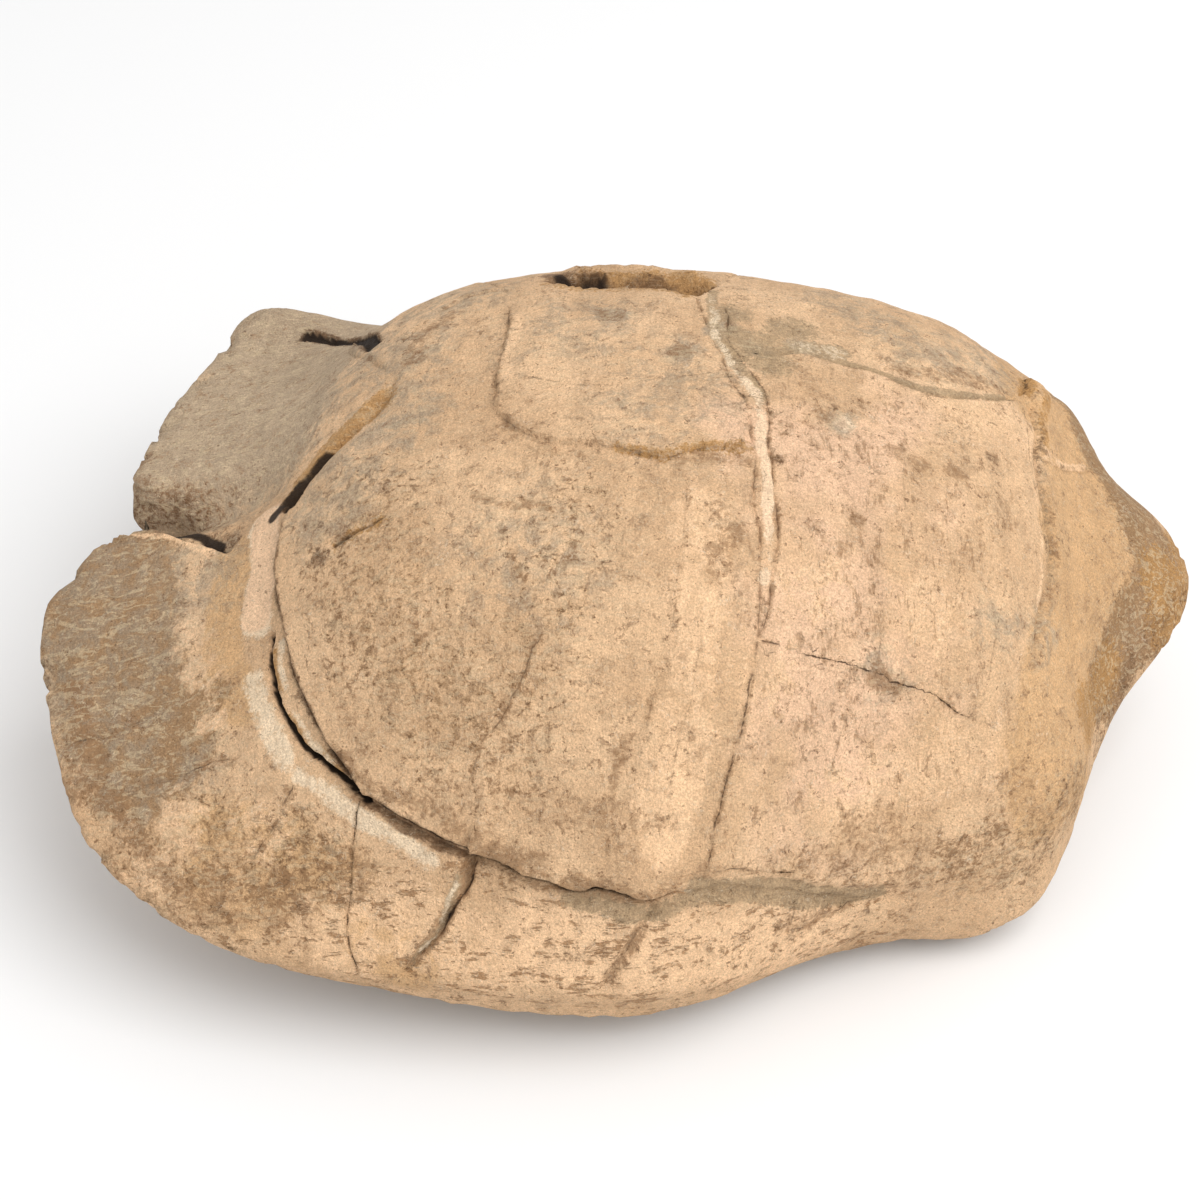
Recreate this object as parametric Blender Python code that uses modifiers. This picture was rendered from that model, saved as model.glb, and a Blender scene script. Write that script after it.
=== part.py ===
"""Fossil tortoise shell: carapace, plastron and the stone that fills them, grown and cemented into one solid.

Metres, +Z up. The shell lies on its plastron with its length along X: the broad flared rim with the
neck notch is at -X and the pointed tail end at +X. The origin is under the middle of its box, on the floor.
Run with blender --background --python part.py
"""

import math

import bmesh
import bpy
from mathutils import Vector

LENGTH = 0.300
WIDTH = 0.242
HEIGHT = 0.121
# Middle of the finished box in the frame of the stations below. The object's location takes it to the origin.
MIDDLE = Vector((0.0014, 0.0007, 0.0))

# Driving proportions of the solid between the rim and the floor.
BASE_LENGTH = 0.70 * LENGTH  # flat of the plastron that the shell stands on
BASE_WIDTH = 0.60 * WIDTH
BELLY_RISE = 0.12 * HEIGHT  # how high the plastron's rounded edge climbs

# The crest is the nearly level top of the dome: two ellipses, one in the other, a little nearer the tail.
CREST_LENGTH = 0.38 * LENGTH
CREST_WIDTH = 0.28 * WIDTH
CREST_OFFSET = 0.045 * LENGTH
CREST_SIDE = 0.965  # height of the outer ellipse at its sides, against the whole height
CREST_END_DROP = 0.060  # how much lower it is at its ends
CREST_CAP = 0.45  # size of the inner ellipse, against the outer one
CREST_CAP_RISE = 0.85  # how far up the inner ellipse lies between the outer one and the whole height

RIM_CREASE = 0.7  # sharpness of the rim's two edges, out of 1
NOTCH_CREASE = 0.8  # sharpness of the notch's broken edges
BASE_CREASE = 1.0  # keeps the flat that the shell stands on level to its border

# One station a row, clockwise from the neck notch: the rim's upper edge, the seam where the dome meets the
# rim, how thick the rim is there, how far up the flare's middle lies between the two (under 0.5 is hollow,
# over is rounded), and how far the stone between rim and plastron is worn back, out of 1.
# x, y and z are percentages of half the length, half the width and the height.
#    rim x, y, z    seam x, y, z   thickness in mm, flare, worn back
STATIONS = (
    ((-66, 1, 54), (-59, 0, 66), 14, 0.44, 0.9),  # bottom of the neck notch
    ((-89, 0, 57), (-60, -8, 67), 12, 0.40, 0.9),  # near lip of the notch
    ((-102, -17, 49), (-60, -19, 67), 11, 0.40, 0.9),
    ((-96, -43, 42), (-57, -36, 65), 10, 0.40, 1.0),
    ((-91, -66, 36), (-53, -55, 61), 9, 0.40, 1.0),
    ((-81, -80, 30), (-47, -67, 56), 9, 0.42, 1.0),
    ((-64, -91, 24), (-39, -77, 52), 9, 0.44, 0.7),
    ((-44, -95, 23), (-27, -85, 50), 11, 0.50, 0.2),
    ((-24, -98, 22), (-15, -91, 49), 13, 0.54, 0.0),
    ((-3, -100, 21), (-1, -95, 48), 14, 0.56, 0.0),
    ((16, -95, 20), (14, -92, 46), 12, 0.56, 0.0),
    ((31, -81, 17), (31, -82, 38), 10, 0.56, 0.0),
    ((46, -73, 11), (47, -76, 34), 7, 0.56, 0.2),
    ((60, -73, 8), (60, -71, 40), 6, 0.58, 0.3),
    ((72, -67, 12), (69, -60, 47), 8, 0.60, 0.4),
    ((76, -48, 23), (72, -42, 55), 10, 0.62, 0.8),
    ((85, -28, 34), (76, -25, 62), 10, 0.64, 1.0),
    ((107, -1, 42), (78, -2, 66), 9, 0.66, 0.9),  # tail tip
    ((92, 22, 49), (77, 18, 69), 12, 0.66, 1.0),
    ((84, 43, 57), (72, 36, 71), 14, 0.64, 1.0),
    ((74, 68, 48), (63, 58, 67), 14, 0.62, 0.8),
    ((45, 88, 26), (41, 78, 54), 12, 0.58, 0.2),
    ((10, 99, 22), (8, 90, 47), 12, 0.56, 0.0),
    ((-26, 101, 27), (-20, 88, 50), 11, 0.50, 0.2),
    ((-56, 99, 43), (-40, 75, 58), 10, 0.44, 0.7),
    ((-74, 91, 48), (-48, 64, 60), 11, 0.40, 1.0),
    ((-80, 66, 52), (-54, 48, 63), 14, 0.40, 1.0),
    ((-85, 39, 57), (-57, 32, 66), 15, 0.40, 1.0),
    ((-87, 11, 62), (-60, 11, 67), 17, 0.40, 0.9),  # far lip of the notch
)

# Places of the rings in a section, counted from the border of the flat below.
BASE, UNDER_RIM, LOWER_RIM, RIM, FLARE = 0, 2, 3, 4, 5
# Rings of the dome between the seam and the crest: how far in each lies, and how far up.
DOME_RINGS = ((0.29, 0.58), (0.64, 0.88))
STONE_COLOUR = (0.62, 0.42, 0.26, 1.0)
STONE_ROUGHNESS = 0.85


def placed(percent):
    """A point from percentages of half the length, half the width and the height."""
    x, y, z = percent
    return Vector((x * LENGTH / 200, y * WIDTH / 200, z * HEIGHT / 100))


def on_ellipse(towards, length, width, height, offset=0.0):
    """The point of a level ellipse that lies in the direction of another point."""
    angle = math.atan2(towards.y / WIDTH, towards.x / LENGTH)
    return Vector((offset + length / 2 * math.cos(angle), width / 2 * math.sin(angle), height))


def crest_points(seam):
    """The points of the crest's outer and inner ellipses that lie in the direction of a seam point."""
    outer = on_ellipse(seam, CREST_LENGTH, CREST_WIDTH, CREST_SIDE * HEIGHT, CREST_OFFSET)
    endwise = (outer.x - CREST_OFFSET) / (CREST_LENGTH / 2)
    outer.z -= CREST_END_DROP * HEIGHT * endwise**2
    inner = Vector((CREST_OFFSET, 0, outer.z)).lerp(outer, CREST_CAP)
    inner.z += CREST_CAP_RISE * (HEIGHT - outer.z)
    return outer, inner


def section(station):
    """The points of one upright section of the shell, from the border of the flat below to the crest."""
    rim, seam = placed(station[0]), placed(station[1])
    thickness, flare_rise, worn = station[2] / 1000, station[3], station[4]
    base = on_ellipse(seam, BASE_LENGTH, BASE_WIDTH, 0)
    lower_rim = rim.lerp(base, 0.10)
    lower_rim.z = rim.z - thickness
    belly = base.lerp(lower_rim, 0.66 - 0.48 * worn)
    belly.z = min(BELLY_RISE, 0.5 * lower_rim.z)
    under_rim = base.lerp(lower_rim, 0.92 - 0.80 * worn)
    under_rim.z = 0.35 * belly.z + 0.65 * lower_rim.z
    flare = rim.lerp(seam, 0.55)
    flare.z = rim.z + flare_rise * (seam.z - rim.z)
    crest, cap = crest_points(seam)
    dome = []
    for share_in, share_up in DOME_RINGS:
        point = seam.lerp(crest, share_in)
        point.z = seam.z + share_up * (crest.z - seam.z)
        dome.append(point)
    return [base, belly, under_rim, lower_rim, rim, flare, seam, *dome, crest, cap]


def build_cage():
    """A coarse loft through the sections, closed below and above."""
    cage = bmesh.new()
    sections = [[cage.verts.new(p) for p in section(s)] for s in STATIONS]
    for here, after in zip(sections, sections[1:] + sections[:1]):
        for low in range(len(here) - 1):
            cage.faces.new((here[low], after[low], after[low + 1], here[low + 1]))
    cage.faces.new([s[0] for s in reversed(sections)])
    cage.faces.new([s[-1] for s in sections])
    crease = cage.edges.layers.float.new("crease_edge")
    for here, after in zip(sections, sections[1:] + sections[:1]):
        for ring, sharpness in ((BASE, BASE_CREASE), (LOWER_RIM, RIM_CREASE), (RIM, RIM_CREASE)):
            cage.edges.get((here[ring], after[ring]))[crease] = sharpness
    for lip in (sections[1], sections[-1]):
        for low in (UNDER_RIM, LOWER_RIM, RIM, FLARE):
            cage.edges.get((lip[low], lip[low + 1]))[crease] = NOTCH_CREASE
    bmesh.ops.recalc_face_normals(cage, faces=cage.faces)
    mesh = bpy.data.meshes.new("tortoise_shell")
    cage.to_mesh(mesh)
    cage.free()
    return mesh


def stone_material():
    """Buff fossil bone and stone: dull, with no metal in it."""
    material = bpy.data.materials.new("fossil_bone")
    material.use_nodes = True
    shader = material.node_tree.nodes["Principled BSDF"]
    shader.inputs["Base Color"].default_value = STONE_COLOUR
    shader.inputs["Roughness"].default_value = STONE_ROUGHNESS
    shader.inputs["Metallic"].default_value = 0.0
    return material


def build():
    for old in list(bpy.data.objects):
        bpy.data.objects.remove(old)
    collection = bpy.data.collections.new("tortoise_shell")
    bpy.context.scene.collection.children.link(collection)
    shell = bpy.data.objects.new("tortoise_shell", build_cage())
    shell.location = -MIDDLE
    shell.data.materials.append(stone_material())
    collection.objects.link(shell)
    smooth = shell.modifiers.new("smooth", "SUBSURF")
    smooth.levels = smooth.render_levels = 2
    shell.data.shade_smooth()


build()
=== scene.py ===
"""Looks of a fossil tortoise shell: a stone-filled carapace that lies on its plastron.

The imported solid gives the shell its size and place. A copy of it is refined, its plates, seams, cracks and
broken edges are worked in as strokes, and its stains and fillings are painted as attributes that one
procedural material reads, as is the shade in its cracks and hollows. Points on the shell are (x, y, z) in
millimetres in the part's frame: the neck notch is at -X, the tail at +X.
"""

import math
from typing import NamedTuple

import bpy
import numpy as np
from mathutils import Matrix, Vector, kdtree, noise


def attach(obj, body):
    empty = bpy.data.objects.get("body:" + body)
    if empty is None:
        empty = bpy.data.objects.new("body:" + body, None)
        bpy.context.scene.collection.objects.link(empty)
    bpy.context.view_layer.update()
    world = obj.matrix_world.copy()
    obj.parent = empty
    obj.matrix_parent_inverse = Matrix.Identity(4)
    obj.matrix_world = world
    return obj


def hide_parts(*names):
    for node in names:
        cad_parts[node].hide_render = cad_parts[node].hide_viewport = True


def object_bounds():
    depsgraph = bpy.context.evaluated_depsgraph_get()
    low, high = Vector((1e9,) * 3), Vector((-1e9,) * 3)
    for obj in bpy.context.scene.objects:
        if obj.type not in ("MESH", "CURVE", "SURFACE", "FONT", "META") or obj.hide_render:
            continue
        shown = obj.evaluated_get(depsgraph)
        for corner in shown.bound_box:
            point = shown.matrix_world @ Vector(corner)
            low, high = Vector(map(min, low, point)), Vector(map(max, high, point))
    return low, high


bl_info = {
    "name": "Fossil Tortoise Shell",
    "version": (1, 0, 0),
    "blender": (4, 5, 0),
    "location": "3D View > Sidebar > Fossil Shell",
    "description": "Builds a weathered, stone-filled tortoise shell around its packed solid, and a studio",
    "category": "Object",
}

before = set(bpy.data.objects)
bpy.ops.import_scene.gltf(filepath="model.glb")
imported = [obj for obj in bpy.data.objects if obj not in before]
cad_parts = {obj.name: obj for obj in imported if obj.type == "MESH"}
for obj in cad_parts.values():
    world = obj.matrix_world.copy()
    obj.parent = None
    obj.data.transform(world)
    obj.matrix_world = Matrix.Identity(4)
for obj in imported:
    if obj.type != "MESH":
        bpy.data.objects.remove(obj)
CAD_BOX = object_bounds()

MM = 0.001
NODE = "tortoise_shell"
WELD_GAP = 0.01 * MM
QUAD_BEND = math.radians(50)  # how bent or skewed a quad may be that is made of two triangles
REST_LEVEL = 0.05  # what lies lower than this, in mm, is the level face that the shell rests on

FLOOR_GAP = 0.2 * MM  # how far the floor lies under the shell, so that the two faces stay apart
KEY_LIGHT_PLACE = (0.6, -0.4, 1.15)
KEY_LIGHT_SIZE = 1.1
CAMERA_TARGET = Vector((-7.4, -18.7, 60)) * MM
CAMERA_DISTANCE = 620 * MM
CAMERA_CLIMB = math.radians(42)
CAMERA_LENS = 72.5  # in mm, like the sensor's width
CAMERA_SENSOR = 36

# What is painted on the shell, from 0 to 1 at each vertex. Matrix is the sediment that fills it, and rows and
# bands are where brown marks lie in rows down the plates or in bands along the rim. The black inside the
# cracks, gaps and hollows is painted shade, and the darkest brown is painted shade in hollows with some dark
# stain.
PAINTS = (
    "crack_shade", "hair", "shade_and_dark_stain", "stain", "rust", "cement", "matrix", "grey", "tan", "ochre", "pale", "pink",
    "rows", "bands",
)
HAIR_REACH = 3.0  # how far from a hairline its paint is kept, in mm
LEDGE_STEP = 0.35  # half the width over which a ledge steps up, in mm
LEDGE_TAIL = 2.2  # how many of its reaches it takes a ledge to die away


# ----------------------------------------------------------------------------
# What is worked into the shell. A stroke's left and right are those of someone who walks along it.


class Stroke(NamedTuple):
    """A groove, crack, seam or ledge along a route. Its sizes are in mm, and its colours go from 0 to 1."""

    route: tuple
    width: float
    depth: float
    rise: float = 0.0  # how far the surface on the left stands proud
    rise_reach: float = 20.0
    sink: float = 0.0  # how far the surface on the right is let down
    sink_reach: float = 6.0
    crack_shade: float = 0.0  # painted shade: how black the inside of the groove is painted
    stain: float = 0.0  # how brown it is around
    stain_width: float = 6.0
    tint: str = "stain"  # or rust, which is a warmer brown, or the darkest brown, which is painted shade in hollows with some dark stain
    hair: float = 0.0  # how dark a hairline runs down its middle
    flat: float = 0.0  # share of the width that is a level bottom
    ends: tuple = (0.06, 0.06)  # share of the route over which it dies away at each end
    fine: bool = False  # a hairline, which needs the finest mesh


class Wash(NamedTuple):
    """Colour brushed along a route."""

    paint: str
    amount: float
    width: float
    route: tuple
    swell: float = 0.0  # how far the filling stands out, in mm


class Spot(NamedTuple):
    """Colour dabbed round a place."""

    paint: str
    amount: float
    reach: float
    places: tuple


class Grab(NamedTuple):
    """A soft pull on the shell round a place."""

    place: tuple
    reach: float
    pull: tuple


# The open crack between the dome and the front rim: a trough above, and below it a slipped plate's edge with
# a gap beside it whose shade is painted black.
FRONT_TROUGH = Stroke(
    route=(
        (-58, 20, 105), (-62, 10, 105), (-65, 5, 103), (-68, 1, 101), (-73, -2, 98), (-78, -6, 94),
        (-82, -9, 92), (-87, -14, 88),
    ),
    width=5.2, depth=2.6, rise=-1.0, rise_reach=5, stain=1.0, stain_width=6, ends=(0.3, 0.02), tint="rust",
)
FRONT_TROUGH_END = Stroke(
    route=((-73, -4, 98), (-78, -8, 95), (-82, -11, 92), (-85, -14, 90), (-87, -17, 88)),
    width=3.0, depth=2.6, crack_shade=1.0, stain=0.7, stain_width=4, ends=(0.35, 0.02), tint="shade_and_dark_stain", fine=True,
)
PLATE_EDGE = Stroke(
    route=(
        (-85, -18, 89), (-86, -26, 86), (-86, -37, 83), (-84, -49, 81), (-82, -57, 79), (-79, -67, 76),
        (-75, -74, 73), (-71, -81, 70), (-67, -86, 67), (-63, -91, 64), (-59, -94, 63),
    ),
    width=1.9, depth=1.7, rise=1.9, rise_reach=16, sink=0.5, crack_shade=0.75, stain=0.6, stain_width=3.5,
    tint="shade_and_dark_stain", hair=1.0, fine=True,
)
FRONT_GAP = Stroke(
    route=(
        (-87, -50, 78), (-87, -57, 75), (-85, -65, 72), (-82, -72, 70), (-79, -77, 68), (-74, -82, 67),
        (-69, -86, 65), (-63, -91, 64),
    ),
    width=2.2, depth=4.5, sink=0.3, crack_shade=1.0, stain=0.25, stain_width=5, ends=(0.02, 0.02), hair=1.0,
    fine=True,
)
GAP_HOLE = Stroke(
    route=((-65, -90, 65), (-62, -92, 63), (-60, -93, 63)),
    width=2.8, depth=5.0, crack_shade=1.0, stain=0.6, ends=(0.2, 0.2), fine=True,
)
LOWER_TROUGH = Stroke(
    route=(
        (-62, -92, 64), (-59, -94, 63), (-54, -97, 62), (-49, -100, 61), (-43, -103, 60), (-37, -105, 59),
    ),
    width=3.6, depth=2.2, rise=1.0, stain=0.75, stain_width=4.5, ends=(0.05, 0.02), tint="shade_and_dark_stain",
)
LOWER_GAP = Stroke(
    route=(
        (-62, -92, 64), (-59, -94, 64), (-54, -96, 63), (-49, -99, 62), (-43, -102, 61), (-37, -105, 60),
    ),
    width=1.2, depth=1.4, crack_shade=0.6, ends=(0.02, 0.02), hair=1.0, fine=True,
)
# The lower edge of the dome stands over the near rim as far as the middle, and a bed of sediment carries on
# from there.
DOME_LIP = Stroke(
    route=(
        (-38, -105, 59), (-33, -107, 59), (-28, -108, 58), (-21, -111, 57), (-14, -113, 56), (-7, -113, 56),
        (2, -114, 54), (8, -113, 54), (16, -110, 54),
    ),
    width=1.7, depth=2.6, rise=1.8, rise_reach=14, sink=0.9, sink_reach=7, crack_shade=0.9, stain=0.7,
    stain_width=7, ends=(0.02, 0.3), hair=1.0, fine=True,
)
SEDIMENT_BED = Stroke(
    route=(
        (12, -112, 54), (18, -110, 53), (25, -107, 51), (35, -104, 45), (47, -100, 38), (60, -95, 32),
        (74, -91, 28),
    ),
    width=9, depth=1.3, rise=0.8, flat=0.5, stain=0.25, stain_width=9, ends=(0.08, 0.4),
)
BED_SHADOW = Stroke(
    route=((16, -109, 57), (22, -107, 56), (30, -105, 53), (38, -101, 48), (47, -98, 42)),
    width=0.9, depth=0.8, crack_shade=0.4, stain=0.5, stain_width=3, ends=(0.05, 0.4), hair=0.9, fine=True,
)
BED_EDGE = Stroke(
    route=((30, -109, 37), (40, -104, 31), (47, -100, 31), (53, -97, 32), (62, -94, 30)),
    width=0.9, depth=0.5, crack_shade=0.3, stain=0.6, stain_width=3, ends=(0.2, 0.3), hair=0.7, fine=True,
)
# Seams and cracks across the near rim.
RIM_CRACK = Stroke(
    route=(
        (-63, -91, 63), (-64, -94, 59), (-65, -97, 55), (-66, -101, 50), (-66, -106, 44), (-67, -109, 39),
        (-67, -112, 35), (-65, -114, 30), (-63, -115, 24),
    ),
    width=0.9, depth=0.9, rise=0.3, crack_shade=0.2, stain=0.35, stain_width=3, ends=(0.01, 0.1), hair=0.9,
    fine=True,
)
RIM_STEP = Stroke(
    route=(
        (-37, -105, 59), (-39, -109, 52), (-42, -111, 47), (-45, -113, 42), (-49, -115, 36),
        (-55, -116, 27),
    ),
    width=2.8, depth=1.4, rise=-0.9, rise_reach=8, sink=-0.5, crack_shade=0.25, stain=0.7, stain_width=4,
    ends=(0.02, 0.15),
)
RIM_STEP_SHADOW = Stroke(
    route=((-36, -106, 58), (-38, -109, 52), (-41, -111, 47), (-44, -113, 42), (-48, -115, 36)),
    width=1.1, depth=1.0, crack_shade=0.6, ends=(0.02, 0.4), hair=1.0, fine=True,
)
RIM_FURROW = Stroke(
    route=((7, -114, 52), (3, -116, 47), (0, -118, 41), (-3, -119, 35), (-6, -120, 28), (-7, -119, 22)),
    width=4.6, depth=1.3, rise=0.4, rise_reach=8, stain=0.6, stain_width=4, ends=(0.05, 0.3), hair=0.4,
)
RIM_CREASES = (
    Stroke(
        route=((-141, -60, 49), (-134, -60, 52), (-128, -60, 54), (-118, -58, 58), (-110, -57, 62)),
        width=3.0, depth=0.8, stain=0.45, stain_width=7, ends=(0.05, 0.4), hair=0.5,
    ),
    Stroke(
        route=((-128, -78, 46), (-118, -76, 50), (-108, -75, 54), (-100, -75, 58), (-93, -76, 61)),
        width=1.0, depth=0.6, rise=-0.5, stain=0.5, stain_width=5, ends=(0.3, 0.05), hair=0.7, fine=True,
    ),
    Stroke(
        route=((-78, -84, 61), (-81, -86, 59), (-85, -91, 52), (-89, -95, 47), (-94, -99, 42)),
        width=1.4, depth=0.6, stain=0.5, stain_width=4, ends=(0.1, 0.3), hair=0.6,
    ),
)
# The neck notch has closed up: the far lobe's broken face stands behind the near lobe's thin edge, and a
# gap is left between them, whose shade is painted black.
NOTCH_GAP = Stroke(
    route=(
        (-128, 2, 68), (-121, -4, 71), (-117, -7, 72), (-112, -11, 73), (-105, -16, 75), (-100, -20, 77),
    ),
    width=2.3, depth=4.2, rise=-3.2, rise_reach=12, sink=-0.8, sink_reach=3, crack_shade=1.0, ends=(0.3, 0.1),
    hair=1.0, fine=True,
)
# The pale cemented seam over the dome, and the thin slipped crack that it becomes lower down.
PALE_SEAM_LEFT = Stroke(
    route=(
        (17, 39, 114), (20, 20, 118), (22, 9, 119), (25, -5, 119), (28, -14, 118), (29, -24, 117),
        (29, -34, 115), (29, -44, 112), (30, -52, 109), (30, -59, 106), (29, -67, 101), (29, -74, 97),
    ),
    width=1.0, depth=0.6, crack_shade=0.2, stain=0.45, stain_width=2.4, ends=(0.02, 0.01), hair=0.5, fine=True,
)
PALE_SEAM_RIGHT = Stroke(
    route=(
        (25, 36, 114), (25, 22, 117), (25, 12, 118), (30, -1, 118), (33, -12, 117), (33, -24, 117),
        (33, -34, 114), (34, -44, 111), (34, -52, 108), (33, -60, 105), (31, -68, 100), (29, -74, 97),
    ),
    width=0.9, depth=0.5, crack_shade=0.15, stain=0.5, stain_width=2.2, ends=(0.02, 0.01), hair=0.55, fine=True,
)
THIN_SEAM = Stroke(
    route=(
        (29, -74, 97), (28, -79, 93), (26, -84, 88), (25, -88, 84), (23, -93, 79), (21, -98, 73),
        (19, -104, 66), (17, -109, 58), (16, -110, 55),
    ),
    width=0.8, depth=0.4, rise=0.7, rise_reach=8, stain=0.45, stain_width=2.4, ends=(0.01, 0.02), hair=0.7,
    fine=True,
)
# The middle plate of the top stands proud of the side plates.
MIDDLE_PLATE = Stroke(
    route=(
        (-31, 42, 110), (-31, 30, 112), (-32, 16, 113), (-33, 4, 113), (-33, -4, 113), (-31, -11, 113),
        (-26, -18, 114), (-22, -22, 115), (-15, -25, 116), (-5, -27, 117), (0, -29, 117), (8, -32, 117),
        (17, -29, 118), (28, -28, 117),
    ),
    width=1.3, depth=0.5, rise=1.1, rise_reach=14, sink=0.3, stain=0.45, stain_width=3, ends=(0.1, 0.01),
    hair=0.45, fine=True,
)
MIDDLE_PLATE_LINE = Stroke(
    route=(
        (-32, 6, 113), (-22, 1, 116), (-12, -4, 118), (-3, -5, 119), (7, -4, 119), (17, -2, 119),
        (22, 0, 119),
    ),
    width=0.6, depth=0.2, stain=0.15, stain_width=1.5, hair=0.55, fine=True,
)
# Lines down the side plates.
SIDE_PLATE_SEAM = Stroke(
    route=(
        (13, -38, 116), (12, -52, 112), (10, -66, 106), (9, -77, 100), (5, -86, 93), (3, -91, 88),
        (1, -95, 83), (-1, -101, 76), (-4, -108, 67), (-6, -112, 58),
    ),
    width=1.6, depth=0.35, rise=0.7, rise_reach=9, stain=0.36, stain_width=3.4, ends=(0.03, 0.03), hair=0.3,
)
SIDE_PLATE_CRACK = Stroke(
    route=(
        (-18, -66, 105), (-20, -73, 100), (-23, -77, 97), (-27, -83, 90), (-30, -87, 85), (-34, -90, 81),
        (-36, -93, 76), (-39, -98, 69), (-40, -101, 63),
    ),
    width=0.9, depth=0.3, rise=0.35, rise_reach=5, stain=0.5, stain_width=2.4, ends=(0.25, 0.1), hair=0.5,
    fine=True,
)
SIDE_PLATE_SPUR = Stroke(
    route=(
        (-57, -34, 105), (-58, -35, 104), (-62, -37, 101), (-66, -37, 99), (-69, -38, 97), (-73, -39, 95),
    ),
    width=1.8, depth=1.1, crack_shade=0.5, stain=0.8, stain_width=3.6, ends=(0.3, 0.1), tint="rust", hair=1.0,
    fine=True,
)
RIGHT_CRACK = Stroke(
    route=(
        (29, -74, 97), (36, -73, 94), (43, -73, 91), (53, -72, 87), (60, -72, 83), (68, -73, 80),
        (77, -74, 74), (88, -74, 67),
    ),
    width=0.8, depth=0.3, rise=0.3, rise_reach=5, stain=0.45, stain_width=1.6, ends=(0.02, 0.1), hair=0.85,
    fine=True,
)
GROWTH_LINES = (
    ((58, -52, 103), (59, -60, 97), (58, -67, 91), (56, -73, 84)),
    ((51, -77, 81), (48, -83, 74), (46, -88, 69), (43, -92, 64)),
    ((79, -30, 104), (79, -37, 102), (78, -47, 98), (75, -59, 93)),
    ((90, -24, 100), (89, -32, 98), (90, -44, 92), (87, -56, 87), (84, -68, 79), (78, -78, 67)),
    ((47, -36, 111), (47, -45, 109), (45, -58, 102), (44, -70, 93)),
    ((17, -68, 104), (13, -87, 91), (7, -102, 74), (4, -111, 60)),
    ((68, 1, 110), (67, -12, 110), (66, -23, 110), (65, -34, 108), (67, -48, 102), (66, -62, 93)),
)
# The seam behind the dome, towards the tail, and the ledge that runs to it over the far side of the top.
TAIL_SEAM = Stroke(
    route=(
        (103, 26, 92), (104, 22, 92), (105, 10, 93), (103, -7, 93), (104, -21, 89), (104, -31, 84),
        (101, -42, 81), (98, -53, 77), (96, -62, 73), (93, -72, 63),
    ),
    width=5.0, depth=0.9, rise=1.0, rise_reach=7, flat=0.3, stain=0.45, stain_width=5, ends=(0.02, 0.3),
)
TAIL_SEAM_EDGE = Stroke(
    route=(
        (101, 24, 94), (101, 10, 95), (100, -7, 95), (101, -21, 91), (101, -31, 86), (98, -42, 83),
        (95, -53, 79),
    ),
    width=0.9, depth=0.4, stain=0.4, stain_width=1.6, ends=(0.02, 0.3), hair=0.45,
)
TAIL_CORNER = Stroke(
    route=((104, 34, 88), (103, 26, 92), (100, 20, 95)),
    width=2.0, depth=0.9, rise=1.6, rise_reach=9, stain=0.9, stain_width=4, ends=(0.25, 0.25), tint="rust",
    hair=0.7,
)
TAIL_LINE = Stroke(
    route=((107, -1, 90), (115, 7, 82), (124, 15, 76), (132, 20, 68)),
    width=1.8, depth=0.6, rise=-0.5, rise_reach=6, stain=0.4, stain_width=4, ends=(0.05, 0.3),
)
FAR_LEDGE = Stroke(
    route=(
        (26, 12, 118), (34, 8, 118), (43, 12, 116), (49, 10, 115), (55, 10, 114), (63, 10, 112),
        (69, 6, 110), (76, 5, 108), (87, 8, 105), (95, 14, 99), (101, 20, 95),
    ),
    width=2.8, depth=0.9, rise=-0.9, rise_reach=12, sink=-0.4, stain=0.45, stain_width=4, ends=(0.1, 0.05),
    hair=0.5,
)
# A piece has broken out of the far side of the top and left a pocket with a thin raised lip.
POCKET = Stroke(
    route=((-20, 59, 106), (-10, 53, 110), (2, 51, 111), (13, 48, 112), (21, 43, 113)),
    width=13, depth=5.4, flat=0.75, stain=1.0, stain_width=17, ends=(0.08, 0.05), tint="rust",
)
POCKET_LIP = Stroke(
    route=((-20, 68, 102), (-10, 64, 105), (2, 62, 106), (13, 58, 108), (24, 52, 110)),
    width=7, depth=-1.6, ends=(0.15, 0.15),
)
# A slot in the far rim, where it meets the dome, and the worn seam from there to the front crack.
# Painted shade: the slot's inside is painted black and dark brown.
RIM_SLOT = Stroke(
    route=((-95, 88, 65), (-89, 86, 66), (-83, 82, 69), (-77, 75, 74), (-71, 57, 86), (-66, 37, 99)),
    width=5.4, depth=1.7, flat=0.7, crack_shade=0.8, stain=1.0, stain_width=6.5, ends=(0.03, 0.05), tint="shade_and_dark_stain",
    fine=True,
)
FAR_RIM_SEAM = Stroke(
    route=((-77, 66, 77), (-72, 48, 86), (-66, 32, 96), (-61, 18, 104)),
    width=3.0, depth=0.8, rise=0.6, stain=0.25, ends=(0.1, 0.1),
)
TAIL_UNDERCUT = Stroke(
    route=((147, 4, 42), (143, -6, 44), (138, -15, 44), (132, -24, 42)),
    width=3.0, depth=1.8, stain=0.7, stain_width=6, crack_shade=0.2, ends=(0.1, 0.2),
)
# Seams of the plates on the far side of the dome, and of the rim all round: shallow, and worn nearly away.
WORN_SEAMS = (
    ((-60, 30, 102), (-45, 48, 103), (-30, 50, 108)),
    ((21, 44, 113), (28, 62, 104), (33, 76, 93), (36, 90, 72)),
    ((-31, 46, 109), (-38, 64, 99), (-43, 80, 83), (-47, 92, 66)),
    (
        (101, 22, 93), (92, 42, 90), (80, 58, 84), (62, 76, 74), (36, 92, 66), (8, 102, 60), (-20, 104, 58),
        (-48, 94, 64),
    ),
    ((36, 92, 64), (40, 100, 46), (42, 104, 34)),
    ((-4, 103, 60), (-6, 112, 44), (-6, 118, 32)),
    ((-47, 94, 62), (-56, 104, 56), (-64, 112, 50)),
    ((70, 66, 80), (80, 72, 66), (88, 76, 54)),
    ((40, -104, 40), (38, -108, 28), (36, -110, 20)),
)
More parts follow.
